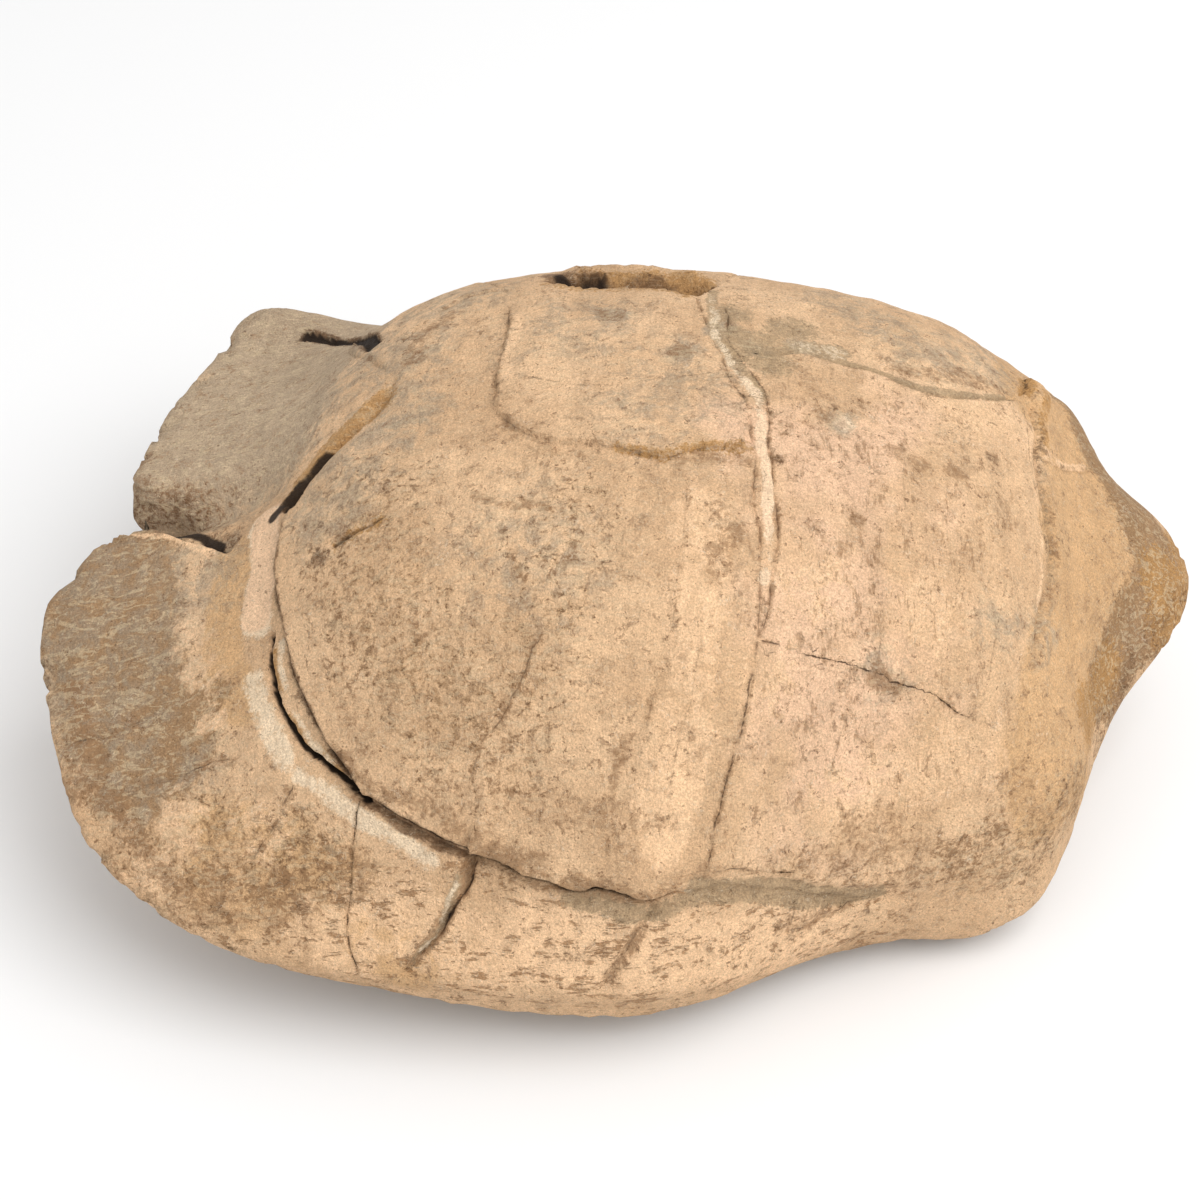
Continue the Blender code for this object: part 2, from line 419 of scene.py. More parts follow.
# The plastron's seams, on the flat below.
PLASTRON_SEAMS = (
    ((-100, 0, 0), (-70, 1, 0), (-30, -2, 0), (0, 1, 0), (40, -1, 0), (80, 2, 0), (104, 0, 0)),
    ((-88, 24, 0), (-82, 10, 0), (-78, 0, 0), (-83, -11, 0), (-88, -24, 0)),
    ((-56, 56, 0), (-50, 26, 0), (-46, 0, 0), (-50, -26, 0), (-56, -56, 0)),
    ((-30, 68, 0), (-30, 30, 0), (-34, 0, 0), (-30, -30, 0), (-30, -68, 0)),
    ((34, 66, 0), (30, 30, 0), (32, 0, 0), (30, -30, 0), (34, -66, 0)),
    ((80, 34, 0), (70, 16, 0), (66, 0, 0), (70, -16, 0), (80, -34, 0)),
)
STROKES = (
    FRONT_TROUGH, FRONT_TROUGH_END, PLATE_EDGE, FRONT_GAP, GAP_HOLE, LOWER_TROUGH, LOWER_GAP, DOME_LIP,
    SEDIMENT_BED, BED_SHADOW, BED_EDGE, RIM_CRACK, RIM_STEP, RIM_STEP_SHADOW, RIM_FURROW, *RIM_CREASES,
    NOTCH_GAP, PALE_SEAM_LEFT, PALE_SEAM_RIGHT, THIN_SEAM, MIDDLE_PLATE, MIDDLE_PLATE_LINE, SIDE_PLATE_SEAM,
    SIDE_PLATE_CRACK, SIDE_PLATE_SPUR, RIGHT_CRACK, TAIL_SEAM, TAIL_SEAM_EDGE, TAIL_CORNER, TAIL_LINE,
    FAR_LEDGE, POCKET, POCKET_LIP, RIM_SLOT, FAR_RIM_SEAM, TAIL_UNDERCUT,
    *(
        Stroke(route=line, width=0.9, depth=0.25, rise=0.2, rise_reach=4, stain=0.28, stain_width=2.0,
               ends=(0.2, 0.3), hair=0.4)
        for line in GROWTH_LINES
    ),
    *(
        Stroke(route=line, width=2.0, depth=0.6, rise=0.3, rise_reach=6, stain=0.35, stain_width=4,
               ends=(0.1, 0.1), hair=0.45)
        for line in WORN_SEAMS
    ),
    *(
        Stroke(route=line, width=1.6, depth=0.7, stain=0.6, stain_width=4, ends=(0.04, 0.04), hair=0.8)
        for line in PLASTRON_SEAMS
    ),
)

WASHES = (
    # Pink and buff cement pressed into the front crack, on the rim's side of it.
    Wash("cement", 1.0, 9, (
        (-92, -16, 84), (-91, -21, 83), (-90, -27, 82), (-90, -37, 79), (-91, -46, 76),
    ), 0.5),
    Wash("pink", 1.0, 10, ((-91, -15, 85), (-91, -20, 84), (-90, -27, 82), (-90, -37, 79), (-91, -44, 76))),
    Wash("rust", 1.0, 4.6, ((-63, 9, 104), (-68, 4, 101), (-73, 1, 98), (-79, -3, 93), (-84, -7, 90))),
    # Painted shade: the black in the lower end of the front crack, where the dome's edge stands over it.
    Wash("crack_shade", 1.0, 3.0, ((-76, -4, 96), (-81, -6, 93), (-85, -10, 90), (-88, -14, 88), (-90, -17, 86))),
    Wash("ochre", 0.85, 14, (
        (-98, -20, 76), (-98, -32, 74), (-99, -44, 71), (-99, -54, 68), (-94, -62, 68),
    )),
    Wash("cement", 0.75, 7, ((-91, -60, 71), (-89, -66, 69), (-86, -72, 67), (-82, -79, 64)), 0.2),
    Wash("cement", 0.75, 5, (
        (-78, -84, 63), (-72, -88, 62), (-64, -94, 60), (-55, -100, 58), (-46, -105, 56),
    ), 0.2),
    Wash("cement", 0.65, 2.6, (
        (-85, -54, 79), (-84, -60, 77), (-81, -69, 73), (-76, -77, 70), (-70, -84, 67),
    )),
    Wash("rust", 0.8, 2.5, (
        (-86, -56, 77), (-84, -64, 74), (-80, -73, 71), (-74, -80, 69), (-68, -86, 66),
    )),
    Wash("cement", 0.55, 3.0, ((22, 39, 113), (22, 20, 118), (23, 10, 118), (27, -4, 119), (30, -14, 118))),
    Wash("cement", 0.8, 2.8, (
        (27, -4, 119), (30, -14, 118), (31, -28, 116), (31, -44, 112), (32, -54, 108), (31, -62, 104),
    ), 0.25),
    Wash("matrix", 0.8, 4, ((22, 42, 112), (22, 20, 118), (24, 10, 118), (28, -4, 119), (30, -12, 118))),
    # Painted shade on the lower half of the pocket's far wall.
    Wash("shade_and_dark_stain", 0.9, 5, ((-17, 58, 107), (-6, 55, 109), (4, 54, 110), (14, 51, 111), (20, 48, 112))),
    Wash("cement", 0.6, 1.6, ((-38, -105, 56), (-41, -109, 48), (-45, -112, 41), (-49, -114, 35)), 0.3),
    # Sediment.
    Wash("matrix", 1.0, 7, ((14, -111, 54), (25, -107, 50), (35, -104, 44), (47, -100, 38), (58, -96, 33))),
    Wash("matrix", 0.7, 6, ((-14, -114, 52), (-4, -116, 51), (6, -115, 50), (14, -111, 52))),
    Wash("matrix", 0.9, 3.5, (
        (28, 11, 118), (36, 9, 117), (43, 13, 116), (55, 11, 114), (63, 11, 112), (69, 8, 110),
        (76, 7, 108), (87, 10, 105), (97, 16, 97),
    )),
    Wash("matrix", 0.45, 4.0, (
        (104, 18, 92), (105, 4, 93), (104, -10, 92), (104, -24, 88), (103, -36, 82),
    )),
    Wash("shade_and_dark_stain", 0.5, 3.5, ((106, 16, 91), (105, 4, 93), (103, -6, 93))),
    Wash("rust", 0.7, 4.0, ((108, 26, 88), (106, 16, 91), (106, 6, 92))),
    Wash("pale", 0.8, 3.0, ((106, -1, 90), (114, 7, 84), (120, 12, 79))),
    # Painted shade under the tail's tip.
    Wash("shade_and_dark_stain", 0.45, 12, ((146, 0, 47), (139, -15, 50), (133, -24, 47), (126, -35, 42), (118, -45, 36))),
    # Painted shade in the neck notch: dark brown on the far lobe's face, and black in the gap.
    Wash("shade_and_dark_stain", 0.5, 13, ((-132, 14, 65), (-126, 9, 67), (-119, 4, 70), (-111, -3, 72), (-103, -11, 75))),
    Wash("stain", 0.5, 16, ((-132, 16, 66), (-126, 12, 69), (-119, 7, 71), (-111, 2, 73))),
    Wash("crack_shade", 1.0, 4.0, ((-126, 3, 67), (-120, -1, 69), (-113, -6, 71), (-106, -13, 74))),
    Wash("pale", 0.9, 2.4, ((-131, -2, 68), (-121, -7, 71), (-112, -13, 73), (-104, -19, 75))),
    Wash("pale", 0.8, 2.0, ((100, 4, 95), (100, -8, 95), (100, -22, 91), (100, -32, 86), (97, -44, 81))),
    Wash("matrix", 0.8, 2.2, ((-39, -107, 54), (-42, -111, 46), (-46, -113, 40), (-52, -115, 31))),
    # Stains along the plates.
    Wash("stain", 0.6, 4, (
        (-36, -38, 110), (-31, -40, 111), (-26, -41, 111), (-21, -43, 112), (-15, -47, 112),
    )),
    Wash("stain", 0.6, 3, ((-15, -52, 110), (-14, -55, 109), (-15, -57, 108), (-19, -62, 106))),
    Wash("stain", 0.55, 3, ((-28, -56, 108), (-26, -60, 106), (-24, -63, 105))),
    Wash("rust", 0.65, 3.2, ((-4, -27, 117), (0, -29, 117), (8, -32, 117), (17, -29, 118), (28, -28, 117))),
    # Painted shadow under the middle plate's lower edge.
    Wash("stain", 0.55, 5, ((13, -34, 117), (20, -32, 117), (27, -31, 116))),
    Wash("stain", 0.5, 6, ((-30, -15, 113), (-25, -21, 114), (-19, -26, 115), (-14, -28, 115))),
    Wash("pale", 0.7, 4, ((-28, 30, 112), (-29, 16, 114), (-30, 4, 114))),
    Wash("stain", 0.6, 4, ((-1, -93, 86), (-2, -97, 82), (-4, -100, 77), (-6, -104, 72), (-7, -108, 65))),
    Wash("stain", 0.45, 10, (
        (-76, -42, 92), (-74, -50, 91), (-70, -62, 87), (-66, -72, 80), (-62, -82, 73),
    )),
    Wash("stain", 0.6, 5, (
        (-70, -82, 70), (-62, -89, 67), (-54, -94, 66), (-44, -99, 65), (-36, -103, 62), (-20, -107, 62),
    )),
    Wash("stain", 0.45, 12, ((-46, -95, 71), (-30, -99, 72), (-12, -102, 71), (0, -104, 68))),
    Wash("stain", 0.55, 8, ((-54, 22, 105), (-52, 30, 103), (-46, 40, 103))),
    Wash("stain", 0.5, 8, (
        (-76, -100, 45), (-90, -104, 38), (-100, -103, 35), (-114, -98, 35), (-126, -87, 39),
    )),
    Wash("stain", 0.45, 8, ((-72, -97, 53), (-74, -104, 43), (-76, -110, 33))),
    Wash("stain", 0.5, 12, ((40, -104, 32), (54, -99, 36), (68, -94, 36), (80, -88, 36))),
    Wash("stain", 0.5, 10, ((40, -102, 50), (52, -97, 49), (66, -92, 46), (82, -86, 42))),
    Wash("stain", 0.5, 7, ((20, -44, 114), (22, -56, 108), (18, -62, 107))),
    # Paler strips, and the growth marks and streaks that follow the plates.
    Wash("pale", 0.6, 16, ((16, -46, 112), (14, -70, 102), (10, -90, 87), (5, -104, 70))),
    Wash("pale", 0.9, 26, ((-20, -116, 40), (4, -118, 38), (22, -113, 32), (44, -103, 24))),
    Wash("bands", 1.0, 44, (
        (-84, -104, 40), (-60, -112, 36), (-34, -114, 40), (-6, -118, 38), (22, -113, 32), (52, -100, 24),
    )),
    Wash("rows", 0.9, 64, ((62, -24, 110), (62, -50, 100), (56, -76, 78))),
    Wash("rows", 0.35, 70, ((-20, -40, 112), (-24, -70, 100), (-28, -90, 82))),
    Wash("pink", 0.55, 70, ((46, -24, 113), (52, -50, 104), (48, -78, 78))),
    Wash("ochre", 1.0, 40, ((112, 36, 84), (118, 10, 79), (116, -18, 75), (108, -44, 66), (98, -64, 52))),
    Wash("tan", 0.9, 24, (
        (120, 40, 74), (128, 22, 72), (134, 6, 66), (138, -9, 58), (131, -22, 54), (122, -36, 48),
    )),
    Wash("tan", 0.4, 26, ((-14, -44, 112), (-18, -62, 106), (-24, -80, 94), (-28, -92, 80))),
    Wash("tan", 0.5, 26, ((82, -88, 38), (94, -80, 34), (104, -66, 40))),
    Wash("stain", 0.55, 7, ((68, 14, 110), (77, 14, 107), (87, 17, 104), (96, 18, 99))),
    Wash("pale", 0.55, 24, ((52, -92, 62), (66, -84, 64), (80, -78, 64))),
    Wash("pale", 0.8, 12, ((15, -92, 85), (11, -100, 75), (7, -107, 65))),
    Wash("pale", 0.7, 24, ((-72, -110, 34), (-54, -110, 42), (-32, -117, 36))),
    Wash("ochre", 0.6, 30, ((-96, -92, 44), (-70, -106, 40), (-52, -112, 36))),
    Wash("tan", 1.0, 38, ((-134, -14, 67), (-130, -28, 63), (-127, -46, 58), (-118, -66, 54))),
    Wash("stain", 0.6, 9, ((-138, -46, 55), (-134, -60, 51), (-131, -72, 47))),
    Wash("stain", 0.6, 7, ((-126, -75, 47), (-116, -90, 42), (-103, -99, 38), (-95, -105, 35))),
    Wash("tan", 0.7, 12, ((-131, -57, 53), (-122, -60, 56), (-110, -58, 61), (-101, -58, 65))),
    Wash("tan", 0.5, 30, ((-112, -84, 46), (-96, -92, 46), (-78, -98, 48))),
    Wash("tan", 0.45, 40, ((-64, -30, 100), (-58, -58, 92), (-40, -80, 82))),
)

SPOTS = (
    Spot("grey", 1.0, 26, (
        (-109, 52, 71), (-113, 20, 74), (-86, 56, 78), (-96, 24, 80), (-102, 84, 62), (-70, 92, 62),
    )),
    Spot("grey", 0.5, 20, (
        (-132, -14, 67), (-112, -24, 71), (-142, -40, 58), (-122, -40, 65), (-124, -62, 54),
    )),
    Spot("grey", 0.55, 18, ((-73, -20, 99), (-60, -2, 105), (-58, 26, 103), (-46, 52, 102), (-70, 30, 94))),
    Spot("grey", 0.4, 24, (
        (-20, 84, 92), (30, 88, 80), (70, 60, 84), (-16, 20, 117), (8, -10, 118), (-24, -56, 108),
    )),
    Spot("grey", 0.5, 9, (
        (-118, -78, 49), (-104, -75, 55), (-128, -66, 52), (58, -70, 84), (86, -56, 86), (100, -50, 76),
    )),
    Spot("grey", 0.6, 14, ((-121, 8, 68), (-130, 16, 68))),
    Spot("stain", 0.7, 4, ((-5, 27, 117), (13, 7, 119))),
    Spot("grey", 0.8, 5, (
        (-5, 27, 117), (13, 7, 119), (51, -15, 114), (44, 14, 115), (23, 18, 118), (32, 10, 118),
    )),
    Spot("matrix", 0.9, 4.5, ((46, 15, 115), (28, 16, 117), (52, 15, 114))),
    Spot("cement", 0.5, 4.2, ((51, -15, 114), (46, 15, 115), (52, 15, 114))),
    Spot("grey", 0.5, 14, ((65, 36, 108), (56, 46, 107), (77, 25, 107), (90, 30, 98))),
    Spot("matrix", 0.7, 7, ((29, 9, 119), (35, 4, 118), (36, 14, 117), (26, 28, 116), (42, 24, 115))),
    Spot("shade_and_dark_stain", 0.6, 2.2, ((49, -9, 115), (57, -6, 113), (88, -12, 103), (35, -30, 115))),
    Spot("shade_and_dark_stain", 0.7, 3.0, ((-69, -38, 97), (-74, -40, 93))),
    Spot("stain", 0.7, 3.0, ((59, -73, 84), (62, -73, 82), (56, -73, 85))),
    # Painted shade in the pocket.
    Spot("shade_and_dark_stain", 0.9, 6, ((-17, 58, 107), (-11, 56, 109))),
    Spot("stain", 0.45, 4, ((42, -17, 115), (36, -20, 116), (45, -6, 116), (57, -4, 113))),
    Spot("stain", 0.7, 2.6, ((89, -12, 101), (54, -43, 108), (33, -30, 115), (57, -72, 85), (60, -72, 83))),
    Spot("stain", 0.62, 4, (
        (64, -22, 110), (71, -24, 108), (80, -23, 105), (24, -51, 111), (19, -57, 109), (47, -13, 114),
    )),
    Spot("stain", 0.5, 3, (
        (14, -93, 84), (12, -97, 79), (7, -105, 69), (-21, -62, 105), (-2, -64, 108), (92, -32, 97),
    )),
    Spot("stain", 0.5, 7, ((52, -94, 55), (60, -91, 54), (88, -84, 46), (92, -78, 55))),
    Spot("stain", 0.6, 9, (
        (-135, -70, 47), (-100, -101, 40), (-84, -104, 41), (-66, -102, 49), (-132, 24, 69),
    )),
    # Painted shade: black in the pocket's deepest end.
    Spot("crack_shade", 0.9, 3.2, ((-16, 58, 107), (-12, 57, 108), (-8, 56, 109))),
    Spot("rust", 0.9, 9, (
        (147, -6, 48), (141, -14, 50), (146, 6, 52), (138, -8, 58), (112, -48, 50), (122, -36, 50),
    )),
    Spot("pale", 0.6, 9, ((-88, -91, 51), (-108, -86, 49), (-70, -112, 34), (-118, -96, 36))),
    Spot("pale", 0.45, 8, ((-108, -40, 68), (-106, -52, 66), (-104, -64, 63))),
    Spot("pale", 0.5, 12, (
        (84, 0, 105), (100, 4, 95), (-16, -2, 118), (40, -60, 102), (70, -60, 92), (30, -80, 92),
    )),
)

# Lumps and dents of the grown and crushed shell.
GRABS = (
    Grab((-107, 100, 60), 19, (0.5, 2.0, 5.2)),
    Grab((-92, 98, 62), 20, (0, 1.5, 3.0)),
    Grab((-146, -26, 59), 18, (-3.0, 0, 0)),
    Grab((108, 28, 88), 10, (0.5, 1.0, 2.2)),
    Grab((119, 32, 77), 20, (0.5, 1.5, 3.0)),
    Grab((107, -64, 44), 26, (4.0, -1.5, 0)),
    Grab((-129, 9, 64), 14, (-4.0, -3.0, -2.5)),
    Grab((130, 30, 66), 26, (-2.5, -2.0, -1.0)),
    Grab((128, -30, 54), 22, (-2.0, 1.0, -0.8)),
    Grab((42, -6, 117), 16, (0, 0, 0.5)),
    Grab((-70, -60, 90), 26, (0.4, 0, 0.6)),
)
# Where the rim's edge is chipped, how far in, and how deep.
CHIPPED_EDGES = (
    ((
        (-134, 6, 68), (-134, 20, 68), (-130, 46, 66), (-122, 78, 62), (-112, 104, 57), (-88, 112, 52),
    ), 10, 1.6),
    ((
        (-138, -6, 66), (-147, -22, 60), (-146, -50, 52), (-137, -76, 45), (-120, -96, 37), (-94, -108, 31),
    ), 8, 1.3),
    (((-94, -108, 31), (-66, -116, 26), (-36, -118, 22)), 6, 0.8),
    (((104, -60, 30), (128, -34, 40), (147, -2, 50), (134, 26, 58), (122, 50, 66), (104, 76, 56)), 8, 1.0),
)


# ----------------------------------------------------------------------------
# Working the mesh


def smooth(low, high, value):
    """0 at or under low, 1 at or over high, and an S-curve between them."""
    share = np.clip((value - low) / (high - low), 0.0, 1.0)
    return share * share * (3.0 - 2.0 * share)


def brushed(gap, width):
    """The strength of a brush of that width, which is 1 in its middle and a half at its edges."""
    return np.exp(-((gap / (0.55 * width)) ** 4))


def flowing(route, spacing=1.5):
    """Points about every spacing mm on the smooth curve through a route's points."""
    p = np.array(route, float)
    p = np.vstack([2 * p[0] - p[1], p, 2 * p[-1] - p[-2]])
    runs = []
    for a, b, c, d in zip(p, p[1:], p[2:], p[3:]):
        count = max(1, round(np.linalg.norm(c - b) / spacing))
        t = np.arange(count)[:, None] / count
        bend, twist = 2 * a - 5 * b + 4 * c - d, 3 * b - a - 3 * c + d
        runs.append(b + 0.5 * ((c - a) * t + bend * t**2 + twist * t**3))
    return np.vstack([*runs, p[-2]])


def on_surface(shell, route):
    """A route laid onto the shell, in mm."""
    laid = [shell.closest_point_on_mesh(Vector(p * MM))[1] for p in flowing(route)]
    return np.array(laid) / MM


def measure(points, normals, route, reach):
    """Which points lie within reach of a laid route, how far to its left, and at what share of its length."""
    near = np.flatnonzero(((points > route.min(0) - reach) & (points < route.max(0) + reach)).all(1))
    p, n = points[near], normals[near]
    steps = np.diff(route, axis=0)
    lengths = np.linalg.norm(steps, axis=1) + 1e-9
    gap = np.full(len(near), np.inf)
    side, along = np.ones(len(near)), np.zeros(len(near))
    passed = 0.0
    for start, step, length in zip(route, steps, lengths):
        way = step / length
        t = np.clip((p - start) @ way, 0.0, length)
        off = p - start - t[:, None] * way
        distance = np.sqrt((off * off).sum(1))
        closer = distance < gap
        gap[closer] = distance[closer]
        side[closer] = np.where((off[closer] * np.cross(n[closer], way)).sum(1) < 0, -1.0, 1.0)
        along[closer] = passed + t[closer]
        passed += length
    keep = gap < reach
    return near[keep], (gap * side)[keep], along[keep] / passed


def lumps(points, size, octaves=3, seed=0):
    """Fractal noise between about -1 and 1 whose lumps are size mm across."""
    places = points / size + seed * 17.3
    return np.array([noise.fractal(p, 1.0, 2.0, octaves) for p in places.tolist()])


def wander(points, size, amount, seed=0):
    """Points shifted by up to that many mm, so that what is drawn with them wanders as cracks do."""
    places = points / size + seed * 11.7
    return points + amount * np.array([noise.noise_vector(p) for p in places.tolist()])


def as_drawn(points):
    """Where points lie for an unsteady hand, which sways over 9 mm and shakes over 2.6 mm."""
    return wander(wander(points, 9, 0.9), 2.6, 0.35, 1)


def all_of(items, name):
    """A vector property of each vertex, normal or face, as rows of an array."""
    found = np.empty(len(items) * 3, np.float32)
    items.foreach_get(name, found)
    return found.reshape(-1, 3).astype(float)


def copied_solid(node):
    """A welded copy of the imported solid, in faces of four sides where it can be, one step smoother."""
    bpy.ops.object.select_all(action="DESELECT")
    bpy.context.view_layer.objects.active = node
    node.select_set(True)
    bpy.ops.object.duplicate()
    shell = bpy.context.object
    shell.name = shell.data.name = "weathered_shell"
    shell.parent = None
    shell.data.materials.clear()
    bpy.ops.object.mode_set(mode="EDIT")
    bpy.ops.mesh.select_mode(type="FACE")
    bpy.ops.mesh.select_all(action="SELECT")
    bpy.ops.mesh.remove_doubles(threshold=WELD_GAP)
    bpy.ops.mesh.tris_convert_to_quads(face_threshold=QUAD_BEND, shape_threshold=QUAD_BEND)
    bpy.ops.mesh.select_all(action="DESELECT")
    bpy.ops.object.mode_set(mode="OBJECT")
    finer = shell.modifiers.new("finer", "SUBSURF")
    finer.levels = finer.render_levels = 1
    bpy.ops.object.modifier_apply(modifier=finer.name)
    return shell


def subdivide_where(shell, chosen):
    """Splits the chosen faces in four."""
    bpy.ops.object.mode_set(mode="EDIT")
    bpy.ops.mesh.select_mode(type="FACE")
    bpy.ops.mesh.select_all(action="DESELECT")
    bpy.ops.object.mode_set(mode="OBJECT")
    shell.data.polygons.foreach_set("select", np.asarray(chosen, bool))
    bpy.ops.object.mode_set(mode="EDIT")
    bpy.ops.mesh.subdivide(number_cuts=1, ngon=False)
    bpy.ops.mesh.select_all(action="DESELECT")
    bpy.ops.object.mode_set(mode="OBJECT")


def face_places(mesh):
    """The middles, normals and areas of a mesh's faces, in mm."""
    areas = np.empty(len(mesh.polygons), np.float32)
    mesh.polygons.foreach_get("area", areas)
    return all_of(mesh.polygons, "center") / MM, all_of(mesh.polygons, "normal"), areas / MM**2


def nearness(routes):
    """A search tree of the points of laid routes."""
    places = np.vstack(routes)
    tree = kdtree.KDTree(len(places))
    for i, place in enumerate(places):
        tree.insert(place, i)
    tree.balance()
    return tree


def refine(shell, strokes, laid):
    """Splits faces where the looks need it: most along hairlines, less elsewhere, and least underneath."""
    centres, normals, areas = face_places(shell.data)
    subdivide_where(shell, (normals[:, 2] > -0.3) & (centres[:, 2] > 8) & (areas > 4))
    # How near to which strokes faces are split, and how large at least, in mm and mm2.
    bands = (
        (3.4, 1.2, [route for stroke, route in zip(strokes, laid) if stroke.depth > 0.4]),
        (1.5, 0.3, [route for stroke, route in zip(strokes, laid) if stroke.fine]),
    )
    for reach, least_area, routes in bands:
        tree = nearness(routes)
        centres, normals, areas = face_places(shell.data)
        close = [tree.find(place)[2] < reach for place in as_drawn(centres).tolist()]
        subdivide_where(shell, np.array(close) & (areas > least_area))


def work_strokes(points, normals, strokes, laid, paints, pressure):
    """Paints the strokes. Returns how far each point moves along its normal for them, and how far it is to
    the left of the nearest hairline."""
    moved = np.zeros(len(points))
    beside = np.full(len(points), HAIR_REACH)
    for stroke, route in zip(strokes, laid):
        risen = LEDGE_TAIL * stroke.rise_reach * (stroke.rise != 0)
        reach = max(stroke.width, stroke.stain_width, risen, LEDGE_TAIL * stroke.sink_reach)
        near, left, along = measure(points, normals, route, reach)
        gap = np.abs(left)
        fade = smooth(0, stroke.ends[0], along) * smooth(0, stroke.ends[1], 1 - along)
        half = stroke.width / 2
        hollow = smooth(0, 1, (half - gap) / (half * (1 - stroke.flat)))
        on_left = smooth(-LEDGE_STEP, LEDGE_STEP, left)
        moved[near] += fade * (
            stroke.rise * on_left * np.exp(-((left / stroke.rise_reach) ** 2))
            - stroke.sink * (1 - on_left) * np.exp(-((left / stroke.sink_reach) ** 2))
            - stroke.depth * hollow * pressure[near]
        )
        dark = stroke.crack_shade * fade * smooth(0.0, 0.4, hollow * pressure[near])
        brown = stroke.stain * fade * brushed(gap, stroke.stain_width) * pressure[near]
        paints["crack_shade"][near] = np.maximum(paints["crack_shade"][near], dark)
        paints[stroke.tint][near] = np.maximum(paints[stroke.tint][near], brown)
        if stroke.hair:
            nearer = gap < np.abs(beside[near])
            darkness = stroke.hair * fade * smooth(HAIR_REACH, 0.5 * HAIR_REACH, gap)
            beside[near[nearer]] = left[nearer]
            paints["hair"][near[nearer]] = darkness[nearer]
    return moved, beside


def brush(shell, points, normals, paints):
    """Paints the washes and spots, and returns how far their fillings swell."""
    swell = np.zeros(len(points))
    for wash in WASHES:
        near, left, _ = measure(points, normals, on_surface(shell, wash.route), wash.width)
        share = brushed(left, wash.width)
        paints[wash.paint][near] = np.maximum(paints[wash.paint][near], wash.amount * share)
        swell[near] = np.maximum(swell[near], wash.swell * share)
    for spot in SPOTS:
        for place in spot.places:
            gap = np.linalg.norm(points - place, axis=1)
            paints[spot.paint] = np.maximum(paints[spot.paint], spot.amount * brushed(gap, 2 * spot.reach))
    return swell


def kept_inside(points, low, high, margin=1.5):
    """Points eased back so that none passes the box: those within the margin of a wall crowd towards it."""
    for wall, way in ((low, -1), (high, 1)):
        over = (points - wall) * way + margin
        points = np.where(over > 0, points - way * (over - margin * np.tanh(over / margin)), points)
    return points


def sculpt(shell):
    """Works the strokes, lumps, chips and grain into the shell, and paints it."""
    laid = [on_surface(shell, stroke.route) for stroke in STROKES]
    refine(shell, STROKES, laid)
    mesh = shell.data
    at = all_of(mesh.vertices, "co") / MM
    out = all_of(mesh.vertex_normals, "vector")
    paints = {name: np.zeros(len(at)) for name in PAINTS}
    drawn = as_drawn(at)
    # Waves 26 mm across, lumps of 7 mm and grit of 2.4 mm.
    coarse = lumps(at, 26)
    middling = lumps(at, 7, 3, 2)
    fine = lumps(at, 2.4, 2, 3)
    # The hand's pressure changes along a stroke, and hairlines come and go.
    cuts, beside = work_strokes(drawn, out, STROKES, laid, paints, 1 + 0.5 * middling)
    paints["hair"] *= smooth(-0.5, 0.3, middling)
    swell = brush(shell, wander(drawn, 14, 2.0, 2), out, paints)

    # Stone fills the shell under the rim, where it is rough and hollow.
    underneath = smooth(0.1, 0.6, -out[:, 2]) * smooth(1.0, 6.0, at[:, 2])
    paints["matrix"] = np.maximum(paints["matrix"], 0.9 * smooth(0.5, 0.85, -out[:, 2]))
    chips = np.zeros(len(at))
    for route, width, amount in CHIPPED_EDGES:
        near, left, _ = measure(drawn, out, on_surface(shell, route), width)
        chips[near] = np.maximum(chips[near], amount * smooth(1, 0.2, np.abs(left) / width))
    # Growth lines run down the sides as low ridges, six times as long as they are wide.
    ridges = lumps(np.column_stack([at[:, 0] + 0.2 * at[:, 1], at[:, 1:] / 6]), 6.5, 2, 4)
    # Bare bone is nearly smooth, cement is smoother, and sediment, stains, rust and chips are rough.
    rough = 0.06 + 0.45 * paints["matrix"] + 0.3 * paints["stain"] + 0.6 * paints["rust"] + 0.35 * chips
    rough *= 1 - 0.8 * paints["cement"]
    worn = 0.45 * coarse + 0.2 * middling * (0.6 + rough) + 0.5 * fine * rough
    worn += 0.28 * ridges * (out[:, 2] > 0)
    worn -= 1.6 * underneath * np.abs(middling) + 1.4 * chips * smooth(0.0, 0.7, middling + 0.5 * fine)

    pulled = np.zeros_like(at)
    for grab in GRABS:
        gap = np.linalg.norm(at - grab.place, axis=1)
        pulled += np.exp(-((gap / (0.6 * grab.reach)) ** 2))[:, None] * grab.pull
    # The level face that it rests on stays level, but for grooves.
    level = at[:, 2] < REST_LEVEL
    moved = np.where(level, np.minimum(cuts, 0.0), cuts + worn + swell)
    at += out * moved[:, None] + np.where(level, 0.0, 1.0)[:, None] * pulled
    low, high = (np.array(corner) / MM for corner in CAD_BOX)
    at[~level] = kept_inside(at[~level], low, high)
    at[:, 2] = np.maximum(at[:, 2], 0.0)
    mesh.vertices.foreach_set("co", (at * MM).astype(np.float32).ravel())
    for name, values in paints.items():
        layer = mesh.attributes.new(name, "FLOAT", "POINT")
        layer.data.foreach_set("value", np.clip(values, 0, 1).astype(np.float32))
    layer = mesh.attributes.new("beside_hair", "FLOAT", "POINT")
    layer.data.foreach_set("value", beside.astype(np.float32))
    mesh.update()


# ----------------------------------------------------------------------------
# Materials


def linear(colour):
    """An sRGB hex colour such as "#C8A27A" as linear red, green, blue and alpha."""
    parts = [int(colour[i : i + 2], 16) / 255 for i in (1, 3, 5)]
    return (*(c / 12.92 if c <= 0.04045 else ((c + 0.055) / 1.055) ** 2.4 for c in parts), 1.0)


def add(tree, kind, inputs=None, **settings):
    """Adds a shader node. Settings are its properties, inputs its sockets' values or the sockets to link."""
    node = tree.nodes.new("ShaderNode" + kind)
    for name, value in settings.items():
        setattr(node, name, value)
    for socket, value in (inputs or {}).items():
        if isinstance(value, bpy.types.NodeSocket):
            tree.links.new(value, node.inputs[socket])
        else:
            node.inputs[socket].default_value = value
    return node


